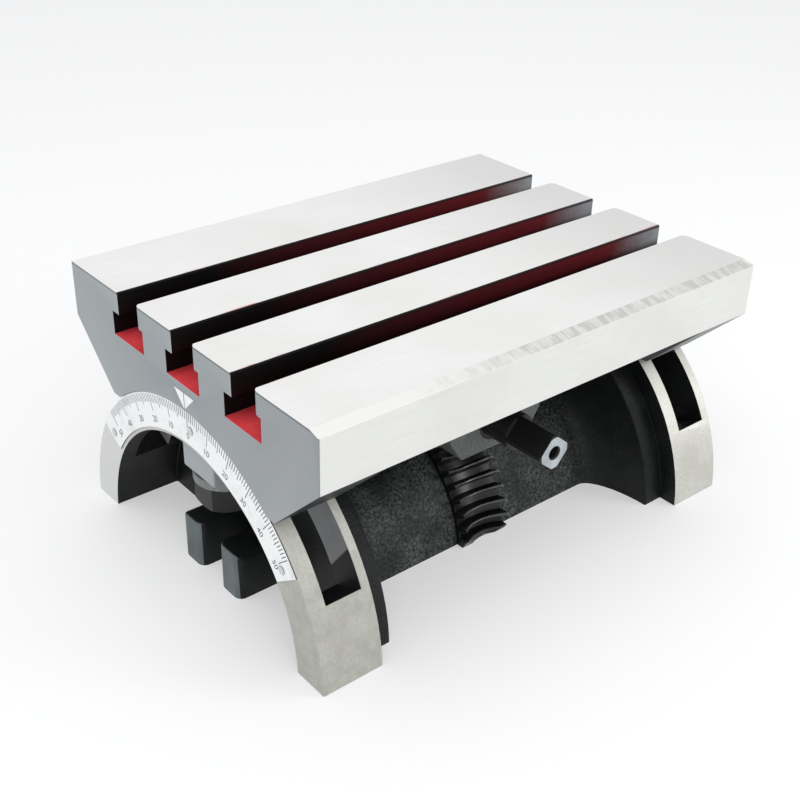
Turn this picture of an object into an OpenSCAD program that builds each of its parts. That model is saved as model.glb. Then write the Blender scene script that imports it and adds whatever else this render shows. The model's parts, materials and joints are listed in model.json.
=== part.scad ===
// Tilting work table: a T-slotted table on a cast base, tilted by a worm about a level axis.
// X runs along the tilt axis, Y across the table, Z up. Z = 0 is the face that stands on the bed.

/* [Table] */
// Length of the table along the tilt axis
table_length = 304.8; // [280:0.1:330]
// Width of the table across the tilt axis
table_width = 228.6; // [224:0.1:240]
// Height of the working face above the bed
table_height = 150.9; // [149:0.1:156]
// Height of the ground upright sides
side_height = 31.8; // [28:0.1:34]
// Thickness of the metal under the middle of the top
slab_height = 38.4; // [37:0.1:40]

/* [T-slots] */
// Distance between neighbouring T-slots
slot_pitch = 54; // [50:1:58]
// Width of the narrow upper part of a T-slot
neck_width = 17.5; // [16:0.1:18]
// Depth of the narrow upper part of a T-slot
neck_depth = 12.9; // [11:0.1:14]
// Width of the wide lower part of a T-slot
head_width = 31; // [28:0.5:31]
// Whole depth of a T-slot
slot_depth = 26.4; // [25:0.1:27]

/* [Base] */
// Depth of the tilt axis below the bed face
axis_drop = 5.5; // [4:0.1:7]
// Outer radius of the half-ring ends
ring_radius = 114.3; // [113:0.1:115]
// Inner radius of the half-ring ends
ring_bore = 92.4; // [91:0.1:93]
// Distance from the middle to the outer face of a ring
ring_face = 150.8; // [150:0.1:151]
// Distance from the middle to the inner face of a ring
ring_back = 114; // [112:0.5:115]
// Radius of the flange behind a ring
flange_radius = 103; // [101:0.5:104]
// Radius of the barrel between the flanges
barrel_radius = 62.5; // [61:0.5:63]
// Radius of the hollow in the barrel
barrel_bore = 49; // [46:0.5:50]

/* [Clamps] */
// Width of the curved slot in each ring
curved_slot = 21.5; // [21:0.1:22]
// Angle from upright to each end of the curved slot
curved_slot_end = 64; // [60:1:66]
// Diameter of the clamp stud
stud_diameter = 20; // [18:0.5:20]

/* [Worm drive] */
// Teeth on a full circle of the gear
gear_teeth = 50; // [50:1:50]
// Module of the worm and the gear
gear_module = 2.5; // [2.5:0.1:2.5]
// Width of the toothed band
gear_width = 33; // [30:1:34]
// Pitch diameter of the worm
worm_pitch_diameter = 51; // [50:0.5:51.5]
// Diameter of the worm shaft
shaft_diameter = 20.6; // [19:0.1:21]
// Width across the flats of the square drive end
drive_square = 16.5; // [15:0.1:16.8]

/* [Hidden] */

ARC = 96; // facets of large turned faces
FINE = 48; // facets of small turned faces
cut = 1; // how far a cutter runs past the face it cuts
slide_gap = 0.3; // gap between faces that slide on each other
running_gap = 0.04; // radial gap of a shaft in its bush
sink = 0.5; // how far one joined shape runs into another
half_length = table_length / 2;
half_width = table_width / 2;
big = 2 * table_length; // larger than the whole object

// Table
saddle_radius = ring_radius + slide_gap;
side_foot = table_height - side_height; // height at which the side turns in
slab_foot = table_height - slab_height; // height of the slab's underside
toe_y = 78; // half width across the saddle's toes
toe_z = 84; // height of the saddle's blunt toes
edge_chamfer = 0.6; // chamfer on the table's rear edge
bevel_width = 7; // shallow bevel milled along the front edge of the working face
bevel_drop = 1.8;
side_lip = 16; // how far the sides stand out past the slab's underside
corner_chamfer = 0.5; // chamfer on the table's upright corners
neck_foot = table_height - neck_depth;
head_foot = table_height - slot_depth;
mouth_radius = 4.5; // rounding of the front side of the T-slot mouths, seen from above
neck_chamfer = 0.8; // chamfer along the T-slot mouths
saddle_wall = half_length - ring_back; // length of a saddle end
rib_x = 70; // distance of a cross rib from the middle
rib_width = 10;
rib_height = 10;
rib_half_length = 78;
pointer_base = 18.7;
pointer_top = 119.5;
pointer_tip = 109.9;
pointer_depth = 0.6;

// Base
seat_radius = 56; // the groove that the gear segment sits in
web_face = 110; // distance from the middle to the web inside an arch
web_back = 90; // distance from the middle to the end of the barrel's hollow
flare_start = 84; // where the barrel begins to flare out to the flange
flare_end = 100; // where the flare meets the flange
flare_steps = 10;
dial_slot = 130; // distance from the middle to the curved slot at the dial end
plain_slot = 134; // distance from the middle to the curved slot at the plain end
lug_front = 143.5; // outer face of the hold-down lugs
lug_gap = 18; // width of the hold-down slot
lug_width = 19;
lug_height = 29;
lug_round = 5;
lug_chamfer = 3;

// Scale plate
plate_inner = 94.5;
plate_outer = ring_radius;
plate_thickness = 0.8;
plate_front = 55; // angle from upright to the plate's front end
plate_rear = 57; // angle from upright to the plate's rear end
rivet_angles = [-52, -1.5, 54.5];
rivet_track = 103.8; // radius that the rivets stand on
rivet_radius = 1.2;
rivet_head = 2.4;
rivet_head_height = 0.5;
rivet_length = 6;

// Worm and gear
gear_pitch = gear_teeth * gear_module / 2;
worm_pitch = worm_pitch_diameter / 2;
centre_distance = gear_pitch + worm_pitch;
worm_z = centre_distance - axis_drop;
clearance = 0.25 * gear_module;
worm_tip = worm_pitch + 0.9 * gear_module;
worm_root = worm_pitch - gear_module - clearance;
throat_radius = worm_pitch - gear_module; // curve of the gear's tooth tips about the worm
throat_root = worm_pitch + gear_module + clearance; // curve of the gear's tooth roots about the worm
thread_pitch = PI * gear_module;
lead_angle = atan(gear_module / worm_pitch_diameter);
flank_angle = 14.5;
thread_half = 1; // half thickness of the worm thread at its pitch line
space_half = 2.9; // half width of a gear tooth space at its pitch line
worm_half = 16; // half length of the threaded part
thread_steps = 24; // straight pieces in a turn of the thread
thread_turns = 2 * (worm_half - thread_half - gear_module) / thread_pitch;
first_space = -11; // tooth spaces are counted from upright, one to each tooth
last_space = 11;
throat_steps = 10; // straight pieces in each half of the throat's curve

// Worm shaft and its bearings
shaft_front = half_width - 0.4;
drive_length = 26;
drive_turn = 50.5; // angle of the square's first flat from level
drive_bevel = 0.8;
tap_radius = 3.4; // tapped hole for the crank's screw
tap_depth = 20;
tap_mouth = 4.2;
tap_lead = 0.01; // how far the tapped hole's countersink starts outside the end face
shaft_rear = 60;
hub_radius = 16;
front_face = 70; // distance of the front bracket's outer face from the middle
front_inner = 40; // and of its inner face
rear_face = 54;
rear_inner = 32;
washer_thickness = 2;
bracket_foot = 65; // height of a bracket's underside
bracket_narrow = 25; // half width at the underside
bracket_wide = 34; // half width above the slanted flanks
bracket_shoulder = 79; // height at which the flanks turn upright
flange_half = 47; // half width of a bracket's bolting flange
flange_thickness = 10;
bush_radius = 12;
bush_proud = 0.6;
screw_x = 40.5; // distance of the bracket screws from the middle
screw_shank = 4; // radius of the bracket screws
screw_head = 6.5;
screw_head_height = 8;
screw_socket = 3.5; // radius of the hexagon socket across its corners
screw_socket_depth = 4;
screw_depth = 9; // how far the screws go into the table
front_screw_rows = [-62, -48];
rear_screw_rows = [43];
pin_radius = 2.5;
pin_recess = 0.5; // how far each end of the pin lies inside the hub

// Clamps
stud_top = 121;
stud_foot = 44;
stud_chamfer = 1.5;
shoe_half_width = 15;
shoe_inner = 14; // depth of the shoe behind the stud
shoe_face = 147.1; // distance from the middle to the outer face of a shoe
shoe_foot = 67.5;
shoe_top_radius = ring_bore - slide_gap;
clamp_washer_radius = 18;
clamp_washer_height = 5;
nut_flats = 30;
nut_height = 15;
nut_chamfer = 2; // height of the chamfer on the nut's lower corners

// Turns a shape drawn about Z so that its axis lies along X, at the tilt axis.
module on_tilt_axis() {
    translate([0, 0, -axis_drop]) rotate([90, 0, 90]) children();
}

// Turns a shape drawn about Z so that its axis lies along Y, at the worm's axis.
module on_worm_axis() {
    translate([0, 0, worm_z]) rotate([-90, 0, 0]) children();
}

// Draws its children at both ends of the object.
module at_both_ends() {
    children();
    mirror([1, 0, 0]) children();
}

// A flat prism along X with a cross-section given in Y and Z.
module along_x(from, to) {
    translate([from, 0, 0]) rotate([90, 0, 90]) linear_extrude(to - from) children();
}

// A ring or a disc about the tilt axis, between two places along X.
module turned(from, to, outer, inner = 0) {
    on_tilt_axis() translate([0, 0, from]) difference() {
        cylinder(r = outer, h = to - from, $fn = ARC);
        if (inner > 0) translate([0, 0, -cut]) cylinder(r = inner, h = to - from + 2 * cut, $fn = ARC);
    }
}

// Keeps only what stands above the bed.
module above_bed() {
    intersection() {
        children();
        translate([-big / 2, -big / 2, 0]) cube(big);
    }
}

// A wedge-shaped sector about the tilt axis, from one angle to another, measured from upright.
module sector(from, to, radius) {
    reach = 2 * radius;
    middle = (from + to) / 2;
    polygon([[0, 0], [reach * sin(from), reach * cos(from)], [reach * sin(middle), reach * cos(middle)],
        [reach * sin(to), reach * cos(to)]]);
}

// ---------------------------------------------------------------- base

// Half of the base's turned outline, as radius and distance from the middle.
function flare(i) = let (a = 90 * i / flare_steps)
    [barrel_radius + (flange_radius - barrel_radius) * (1 - cos(a)),
    flare_start + (flare_end - flare_start) * sin(a)];

function base_half() = concat(
    [[barrel_radius, gear_width / 2]],
    [for (i = [0 : flare_steps]) flare(i)],
    [[flange_radius, ring_back], [ring_radius, ring_back], [ring_radius, ring_face], [0, ring_face]]);

module base_blank() {
    on_tilt_axis() rotate_extrude($fn = ARC) polygon(concat(
        [[0, 0], [seat_radius, 0], [seat_radius, gear_width / 2]], base_half()));
}

module curved_slot_cutter(middle) {
    intersection() {
        turned(middle - curved_slot / 2, middle + curved_slot / 2,
            ring_radius + cut, ring_bore - cut);
        on_tilt_axis() linear_extrude(half_length) sector(-curved_slot_end, curved_slot_end, ring_radius);
    }
}

// A rectangle with rounded corners, made of squares and circles.
module rounded_rectangle(from, to, radius) {
    translate([from.x + radius, from.y]) square([to.x - from.x - 2 * radius, to.y - from.y]);
    translate([from.x, from.y + radius]) square([to.x - from.x, to.y - from.y - 2 * radius]);
    for (x = [from.x + radius, to.x - radius], y = [from.y + radius, to.y - radius])
        translate([x, y]) circle(r = radius, $fn = FINE);
}

module lug() {
    difference() {
        linear_extrude(lug_height) rounded_rectangle([web_face - 2 * lug_round, lug_gap / 2],
            [lug_front, lug_gap / 2 + lug_width], lug_round);
        translate([0, lug_gap / 2 + lug_width, lug_height]) rotate([45, 0, 0])
            cube([big, lug_chamfer * sqrt(2), lug_chamfer * sqrt(2)], center = true);
    }
}

module lug_pair() {
    lug();
    mirror([0, 1, 0]) lug();
}

module rivet_holes(radius) {
    for (a = rivet_angles) on_tilt_axis() rotate(-a) translate([0, rivet_track, -ring_face - 2 * cut])
        cylinder(r = radius, h = rivet_length + 2 * cut, $fn = FINE);
}

module base_half_solid(middle) {
    difference() {
        base_blank();
        turned(web_face, ring_face + cut, ring_bore);
        translate([-big / 2, -big / 2, -big]) cube(big);
        turned(-cut, web_back, barrel_bore);
        curved_slot_cutter(middle);
    }
    lug_pair();
}

module base_casting() {
    color("dimgray") difference() {
        union() {
            mirror([1, 0, 0]) base_half_solid(dial_slot);
            base_half_solid(plain_slot);
        }
        rivet_holes(rivet_radius);
    }
}

// The worm's path round the gear: a ring about the worm's axis that cuts one tooth space.
module space_cutter() {
    deep = throat_root;
    shallow = throat_radius - cut;
    half_at_root = space_half - (deep - worm_pitch) * tan(flank_angle);
    half_at_mouth = space_half + (worm_pitch - shallow) * tan(flank_angle);
    translate([0, 0, centre_distance]) rotate([0, 0, -lead_angle]) rotate([-90, 0, 0])
        rotate_extrude($fn = ARC) polygon([[shallow, -half_at_mouth], [deep, -half_at_root],
            [deep, half_at_root], [shallow, half_at_mouth]]);
}

module gear_blank() {
    half = gear_width / 2;
    edge = asin(half / throat_radius);
    steps = throat_steps;
    on_tilt_axis() rotate_extrude($fn = ARC) polygon(concat(
        [[seat_radius, half], [seat_radius, -half]],
        [for (i = [-steps : steps]) let (a = edge * i / steps)
            [centre_distance - throat_radius * cos(a), throat_radius * sin(a)]]));
}

module gear_segment() {
    color("black") above_bed() difference() {
        gear_blank();
        for (i = [first_space : last_space]) translate([0, 0, -axis_drop])
            rotate([i * 360 / gear_teeth, 0, 0]) space_cutter();
    }
}

module scale_plate() {
    color("white") difference() {
        intersection() {
            turned(-ring_face - plate_thickness, -ring_face, plate_outer, plate_inner);
            on_tilt_axis() translate([0, 0, -half_length]) linear_extrude(half_length)
                sector(-plate_front, plate_rear, plate_outer);
        }
        rivet_holes(rivet_radius);
    }
}

module scale_rivets() {
    face = ring_face + plate_thickness;
    color("silver") for (a = rivet_angles) on_tilt_axis() rotate(-a) translate([0, rivet_track, -face]) {
        cylinder(r = rivet_radius, h = rivet_length, $fn = FINE);
        translate([0, 0, -rivet_head_height]) cylinder(r = rivet_head, h = rivet_head_height, $fn = FINE);
    }
}

// ---------------------------------------------------------------- table

// The upper outline of the table's cross-section, from the front foot over the top to the rear foot.
function upper_outline() = [[-half_width, side_foot], [-half_width, table_height - bevel_drop],
    [-half_width + bevel_width, table_height], [half_width - edge_chamfer, table_height],
    [half_width, table_height - edge_chamfer], [half_width, side_foot]];

// Cross-section of a saddle end before the saddle is bored.
module end_section() {
    polygon(concat(upper_outline(), [[toe_y, toe_z], [-toe_y, toe_z]]));
}

// Cross-section between the saddle ends.
module slab_section() {
    polygon(concat(upper_outline(), [[half_width - side_lip, slab_foot],
        [side_lip - half_width, slab_foot]]));
}

module t_slot_section() {
    c = neck_chamfer;
    polygon([[-head_width / 2, head_foot], [-head_width / 2, neck_foot], [-neck_width / 2, neck_foot],
        [-neck_width / 2, table_height - c], [-neck_width / 2 - c, table_height],
        [-neck_width / 2 - c, table_height + cut], [neck_width / 2 + c, table_height + cut],
        [neck_width / 2 + c, table_height], [neck_width / 2, table_height - c],
        [neck_width / 2, neck_foot], [head_width / 2, neck_foot], [head_width / 2, head_foot]]);
}

// Rounds one corner of a T-slot's mouth, seen from above, with a quarter circle.
module mouth_corner() {
    translate([half_length - mouth_radius, neck_width / 2 - cut, neck_foot]) linear_extrude(big)
        difference() {
            square([mouth_radius + cut, mouth_radius + cut]);
            translate([0, mouth_radius + cut]) circle(r = mouth_radius, $fn = FINE);
        }
}

module t_slots() {
    for (y = [-slot_pitch, 0, slot_pitch]) translate([0, y, 0]) {
        along_x(-half_length - cut, half_length + cut) t_slot_section();
        mirror([0, 1, 0]) at_both_ends() mouth_corner();
    }
}

// Cuts the table's upright corners to a small chamfer.
module corner_cutters() {
    for (side = [0, 1]) mirror([0, side, 0]) at_both_ends()
        translate([half_length, half_width, 0]) rotate([0, 0, 45])
            cube([corner_chamfer * sqrt(2), corner_chamfer * sqrt(2), big], center = true);
}

module pointer_outline(grow = 0) {
    polygon([[-pointer_base / 2 - grow, pointer_top + grow], [pointer_base / 2 + grow, pointer_top + grow],
        [0, pointer_tip - 2 * grow]]);
}

module bracket_screw_holes(rows, depth) {
    for (x = [-screw_x, screw_x], y = rows) translate([x, y, slab_foot - flange_thickness - cut])
        cylinder(r = screw_shank, h = flange_thickness + cut + depth, $fn = FINE);
}

module table_casting() {
    color("silver") difference() {
        union() {
            along_x(-half_length, half_length) slab_section();
            at_both_ends() along_x(half_length - saddle_wall + slide_gap, half_length) end_section();
            at_both_ends() translate([rib_x - rib_width / 2, -rib_half_length, slab_foot - rib_height])
                cube([rib_width, 2 * rib_half_length, 2 * rib_height]);
        }
        turned(-half_length - cut, half_length + cut, saddle_radius);
        t_slots();
        corner_cutters();
        along_x(-half_length - cut, -half_length + pointer_depth) pointer_outline();
        for (x = [-dial_slot, plain_slot]) translate([x, 0, 0])
            cylinder(r = stud_diameter / 2, h = stud_top, $fn = FINE);
        bracket_screw_holes(front_screw_rows, screw_depth);
        bracket_screw_holes(rear_screw_rows, screw_depth);
    }
}

module zero_pointer() {
    color("white") along_x(-half_length, -half_length + pointer_depth) pointer_outline();
}

// ---------------------------------------------------------------- bearing brackets

module bracket_section() {
    polygon([[-bracket_narrow, bracket_foot], [-bracket_wide, bracket_shoulder],
        [-bracket_wide, slab_foot - flange_thickness], [-flange_half, slab_foot - flange_thickness],
        [-flange_half, slab_foot], [flange_half, slab_foot], [flange_half, slab_foot - flange_thickness],
        [bracket_wide, slab_foot - flange_thickness], [bracket_wide, bracket_shoulder],
        [bracket_narrow, bracket_foot]]);
}

module bracket(from, to, rows) {
    difference() {
        translate([0, to, 0]) rotate([90, 0, 0]) linear_extrude(to - from) bracket_section();
        on_worm_axis() translate([0, 0, from - cut])
            cylinder(r = bush_radius, h = to - from + 2 * cut, $fn = FINE);
        bracket_screw_holes(rows, cut);
    }
}

module front_bearing_bracket() {
    color("gray") bracket(-front_face, -front_inner, front_screw_rows);
}

module rear_bearing_bracket() {
    color("gray") bracket(rear_inner, rear_face, rear_screw_rows);
}

// Socket-head screws that hold a bracket up to the table.
module bracket_screws(rows) {
    head_top = slab_foot - flange_thickness;
    color("dimgray") for (x = [-screw_x, screw_x], y = rows) translate([x, y, head_top]) {
        cylinder(r = screw_shank, h = flange_thickness + screw_depth, $fn = FINE);
        translate([0, 0, -screw_head_height]) difference() {
            cylinder(r = screw_head, h = screw_head_height, $fn = FINE);
            translate([0, 0, -cut]) cylinder(r = screw_socket, h = screw_socket_depth + cut, $fn = 6);
        }
    }
}

module front_bracket_screws() { bracket_screws(front_screw_rows); }
module rear_bracket_screws() { bracket_screws(rear_screw_rows); }

module bush(from, to) {
    color("darkgoldenrod") on_worm_axis() translate([0, 0, from]) difference() {
        cylinder(r = bush_radius, h = to - from, $fn = FINE);
        translate([0, 0, -cut])
            cylinder(r = shaft_diameter / 2 + running_gap, h = to - from + 2 * cut, $fn = FINE);
    }
}

module front_bush() { bush(-front_face + bush_proud, -front_inner); }
module rear_bush() { bush(rear_inner, rear_face); }

// ---------------------------------------------------------------- worm

module worm_shaft() {
    color("dimgray") difference() {
        on_worm_axis() union() {
            translate([0, 0, -shaft_front]) intersection() {
                cylinder(r = shaft_diameter / 2, h = shaft_front + shaft_rear, $fn = FINE);
                union() {
                    translate([0, 0, drive_length])
                        cylinder(r = shaft_diameter, h = shaft_front + shaft_rear, $fn = FINE);
                    rotate([0, 0, -drive_turn]) translate([-drive_square / 2, -drive_square / 2, 0])
                        cube([drive_square, drive_square, drive_length + cut]);
                }
                union() {
                    cylinder(r1 = shaft_diameter / 2 - drive_bevel, r2 = shaft_diameter / 2 + cut,
                        h = drive_bevel + cut, $fn = FINE);
                    translate([0, 0, drive_bevel]) cylinder(r = shaft_diameter, h = big, $fn = FINE);
                }
            }
        }
        on_worm_axis() translate([0, 0, -shaft_front]) {
            translate([0, 0, -cut]) cylinder(r = tap_radius, h = tap_depth + cut, $fn = FINE);
            translate([0, 0, -tap_lead])
                cylinder(r1 = tap_mouth, r2 = tap_radius, h = tap_mouth - tap_radius, $fn = FINE);
        }
        worm_cross_pin(cut);
    }
}

// The pin lies across the worm's front hub.
module worm_cross_pin(past = 0) {
    middle = -(front_inner - washer_thickness + worm_half) / 2;
    length = 2 * (hub_radius - pin_recess + past);
    translate([0, middle, worm_z]) rotate([0, 90, 0])
        cylinder(r = pin_radius, h = length, center = true, $fn = FINE);
}

// Corners of the thread's section at one angle, in order round the section.
function thread_ring(turn) = let (
    y = turn * thread_pitch,
    a = turn * 360,
    inner = worm_root - sink,
    foot = thread_half + (worm_pitch - inner) * tan(flank_angle),
    crest = thread_half - (worm_tip - worm_pitch) * tan(flank_angle))
    [for (p = [[inner, -foot], [worm_tip, -crest], [worm_tip, crest], [inner, foot]])
        [-p.x * sin(a), y + p.y, -p.x * cos(a)]];

// The thread is a right-handed helix about the worm's axis, swept as one closed strip of triangles.
module worm_thread() {
    count = 2 * floor(thread_turns * thread_steps / 2);
    points = [for (i = [0 : count], p = thread_ring((i - count / 2) / thread_steps)) p];
    sides = [for (i = [0 : count - 1], k = [0 : 3], half = [0, 1]) let (
        a = 4 * i + k,
        b = 4 * i + (k + 1) % 4)
        half == 0 ? [a, b, b + 4] : [a, b + 4, a + 4]];
    last = 4 * count;
    translate([0, 0, worm_z]) polyhedron(points, concat(sides,
        [[2, 1, 0], [3, 2, 0], [last, last + 1, last + 2], [last, last + 2, last + 3]]));
}

module worm() {
    front = -(front_inner - washer_thickness);
    rear = rear_inner - washer_thickness;
    color("gray") difference() {
        union() {
            on_worm_axis() cylinder(r = worm_root, h = 2 * worm_half, center = true, $fn = FINE);
            on_worm_axis() translate([0, 0, front + slide_gap])
                cylinder(r = hub_radius, h = rear - front - 2 * slide_gap, $fn = FINE);
            worm_thread();
        }
        on_worm_axis() cylinder(r = shaft_diameter / 2, h = big, center = true, $fn = FINE);
        worm_cross_pin(cut);
    }
}

module worm_pin() {
    color("silver") worm_cross_pin();
}

module thrust_washer(from) {
    color("silver") on_worm_axis() translate([0, 0, from]) difference() {
        cylinder(r = hub_radius, h = washer_thickness - slide_gap, $fn = FINE);
        translate([0, 0, -cut])
            cylinder(r = shaft_diameter / 2, h = washer_thickness + 2 * cut, $fn = FINE);
    }
}

module front_thrust_washer() { thrust_washer(-front_inner + slide_gap); }
module rear_thrust_washer() { thrust_washer(rear_inner - washer_thickness); }

// ---------------------------------------------------------------- clamps

module clamp_stud(middle) {
    translate([middle, 0, stud_foot]) difference() {
        cylinder(r = stud_diameter / 2, h = stud_top - stud_foot, $fn = FINE);
        rotate_extrude($fn = FINE) polygon([[stud_diameter / 2 - stud_chamfer - cut, -cut],
            [stud_diameter / 2 + cut, -cut], [stud_diameter / 2 + cut, stud_chamfer + cut]]);
    }
}

module clamp_hole(middle, from, to) {
    translate([middle, 0, from - cut])
        cylinder(r = stud_diameter / 2 + running_gap, h = to - from + 2 * cut, $fn = FINE);
}

module clamp_shoe(middle) {
    difference() {
        intersection() {
            translate([middle - shoe_inner, -shoe_half_width, shoe_foot])
                cube([shoe_face - middle + shoe_inner, 2 * shoe_half_width, ring_bore]);
            turned(web_face, half_length, shoe_top_radius);
        }
        clamp_hole(middle, shoe_foot, ring_bore);
    }
}

module clamp_washer(middle) {
    difference() {
        translate([middle, 0, shoe_foot - clamp_washer_height])
            cylinder(r = clamp_washer_radius, h = clamp_washer_height, $fn = FINE);
        clamp_hole(middle, shoe_foot - clamp_washer_height, shoe_foot);
    }
}

module clamp_nut(middle) {
    top = shoe_foot - clamp_washer_height - slide_gap;
    corner = nut_flats / 2 / cos(30);
    difference() {
        intersection() {
            translate([middle, 0, top - nut_height]) rotate([0, 0, 30])
                cylinder(r = corner, h = nut_height, $fn = 6);
            translate([middle, 0, top - nut_height]) rotate_extrude($fn = FINE) polygon([[0, 0],
                [nut_flats / 2 - sink, 0], [corner + sink, nut_chamfer], [corner + sink, nut_height],
                [0, nut_height]]);
        }
        clamp_hole(middle, top - nut_height, top);
    }
}

module dial_end_clamp_stud() { color("silver") mirror([1, 0, 0]) clamp_stud(dial_slot); }
module plain_end_clamp_stud() { color("silver") clamp_stud(plain_slot); }
module dial_end_clamp_shoe() { color("lightslategray") mirror([1, 0, 0]) clamp_shoe(dial_slot); }
module plain_end_clamp_shoe() { color("lightslategray") clamp_shoe(plain_slot); }
module dial_end_clamp_washer() { color("silver") mirror([1, 0, 0]) clamp_washer(dial_slot); }
module plain_end_clamp_washer() { color("silver") clamp_washer(plain_slot); }
module dial_end_clamp_nut() { color("black") mirror([1, 0, 0]) clamp_nut(dial_slot); }
module plain_end_clamp_nut() { color("black") clamp_nut(plain_slot); }

base_casting();
gear_segment();
scale_plate();
scale_rivets();
table_casting();
zero_pointer();
front_bearing_bracket();
rear_bearing_bracket();
front_bracket_screws();
rear_bracket_screws();
front_bush();
rear_bush();
dial_end_clamp_stud();
plain_end_clamp_stud();
worm_shaft();
worm();
worm_pin();
front_thrust_washer();
rear_thrust_washer();
dial_end_clamp_shoe();
dial_end_clamp_washer();
dial_end_clamp_nut();
plain_end_clamp_shoe();
plain_end_clamp_washer();
plain_end_clamp_nut();
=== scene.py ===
"""Looks of the tilting work table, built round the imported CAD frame. Lengths are in metres."""

import json
import math

import bmesh
import bpy
from mathutils import Matrix, Vector


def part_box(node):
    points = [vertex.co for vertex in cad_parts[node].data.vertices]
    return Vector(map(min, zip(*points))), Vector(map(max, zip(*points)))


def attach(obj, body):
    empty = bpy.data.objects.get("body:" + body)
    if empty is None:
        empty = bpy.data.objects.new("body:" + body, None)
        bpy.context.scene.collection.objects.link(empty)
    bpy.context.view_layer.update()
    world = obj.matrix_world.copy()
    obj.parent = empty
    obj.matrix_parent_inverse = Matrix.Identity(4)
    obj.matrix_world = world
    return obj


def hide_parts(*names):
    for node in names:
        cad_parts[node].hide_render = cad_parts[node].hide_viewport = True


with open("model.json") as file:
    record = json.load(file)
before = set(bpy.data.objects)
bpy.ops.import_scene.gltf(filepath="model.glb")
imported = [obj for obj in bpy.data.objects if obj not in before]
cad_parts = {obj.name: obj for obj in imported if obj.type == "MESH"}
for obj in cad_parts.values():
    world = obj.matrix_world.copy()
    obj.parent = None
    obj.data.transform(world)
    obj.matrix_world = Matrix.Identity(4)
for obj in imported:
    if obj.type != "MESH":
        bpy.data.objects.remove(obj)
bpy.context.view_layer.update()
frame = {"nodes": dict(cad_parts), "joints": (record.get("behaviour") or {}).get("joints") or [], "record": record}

MM = 0.001
bodies = frame["record"]["behaviour"]["bodies"]
body_of_node = {node: body for body, nodes in bodies.items() for node in nodes}
joints = {joint["name"]: joint for joint in frame["joints"]}

# ------------------------------------------------------------------ places read from the frame

table_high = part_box("table_casting")[1]
plate_low, plate_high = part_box("scale_plate")
base_low, base_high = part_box("base_casting")
shaft_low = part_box("worm_shaft")[0]

AXIS_Z = joints["table_tilt"]["pos_m"][2]
WORM_Z = joints["worm_spin"]["pos_m"][2]
HALF_LENGTH = table_high.x
HALF_WIDTH = table_high.y
TOP = table_high.z
RING_RADIUS = plate_high.z - AXIS_Z
RING_FACE = base_high.x

# ------------------------------------------------------------------ sizes the frame doesn't give

# The table. Depths are from its top face.
SLOT_PITCH = 54 * MM
SLOT_OFFSETS = (-SLOT_PITCH, 0.0, SLOT_PITCH)
SLOT_DEPTH = 26.4 * MM
NECK_DEPTH = 12.9 * MM
NECK_HALF = 8.75 * MM
HEAD_REACH = 16 * MM  # from a T-slot's middle to just past its head
BEVEL_WIDTH = 7 * MM
RIM_DEPTH = 3 * MM  # chamfers and ground faces by the outer edges lie within this
SIDE_DEPTH = 32 * MM  # the upright sides lie within this
CAST_DEPTH = 33 * MM  # the cast underside starts here
TABLE_WELD = 0.2 * MM  # joins the ends of edges too short to be rounded
POINTER_LINE = 0.3 * MM  # half the width of the line down the zero mark

# The base. Distances along it are from its middle, and radii from the tilt axis.
RING_BORE = 92.4 * MM
RING_BACK = 114 * MM
BARREL_REACH = 78 * MM
LUG_START = 110.5 * MM
LUG_SIDE = 29 * MM
LUG_TOP = 30 * MM
LAND_OFFSET = 35.4 * MM  # where the grey part of the curved slot's side ends

# The toothed band
THROAT = 23 * MM  # radius of the tooth tips about the worm's axis
LIT_TIPS_ABOVE = 6 * MM  # tooth tips lower than this stay black, as painted shade near the bed
LIP_FOOT = 66.5 * MM  # how far out the trimmed corners meet the bed
LIP_OUT, LIP_DOWN = 0.853, -0.521  # direction of the trimming cut
FOOT_HEIGHT = 2 * MM  # edges below this are barely rounded, to stay above the bed

# The scale
LAST_DEGREE = 50
TICK_LENGTHS = ((10, 9.6 * MM), (5, 6.4 * MM), (1, 4.6 * MM))  # for every so many degrees
TICK_WIDTH = 0.45 * MM
TICK_MARGIN = 0.9 * MM
TICK_SUNK = 0.02 * MM  # how deep a tick's foot lies in the plate
TICK_HEIGHT = 0.06 * MM
NUMBER_RADIUS = 99.4 * MM
NUMBER_SIZE = 5.2 * MM
NUMBER_DEPTH = 0.04 * MM

# The clamp studs' thread
STUD_PITCH = 2.5 * MM
STUD_DEPTH = 1.0 * MM
STUD_PLAY = 0.02 * MM  # keeps the thread inside the CAD stud

# How far edges are rounded
CHAMFER_ROUNDING = 0.08 * MM
GROUND_ROUNDING = 0.25 * MM
UNDERSIDE_ROUNDING = 1.5 * MM
RING_ROUNDING = 0.35 * MM
LUG_ROUNDING = 1.4 * MM
BARREL_ROUNDING = 0.9 * MM
GEAR_ROUNDING = 0.25 * MM
FOOT_ROUNDING = 0.02 * MM

# A face or an edge as near as this to a surface counts as on it
NEAR = 1.0 * MM
CLOSE = 0.5 * MM

# A face looks along an axis if its normal's part on that axis is larger than this
FACING = 0.7
SQUARE = 0.9

BEYOND = 1.0  # past every point of the part
SMOOTH_BELOW = math.radians(35)  # angle between faces that shade as one
FLAT_BELOW = math.radians(0.4)  # angle between faces that are joined into one
WELD = 1e-6  # distance between points that are joined into one
FINE_WELD = 1e-7


# ------------------------------------------------------------------ node material helpers

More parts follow.
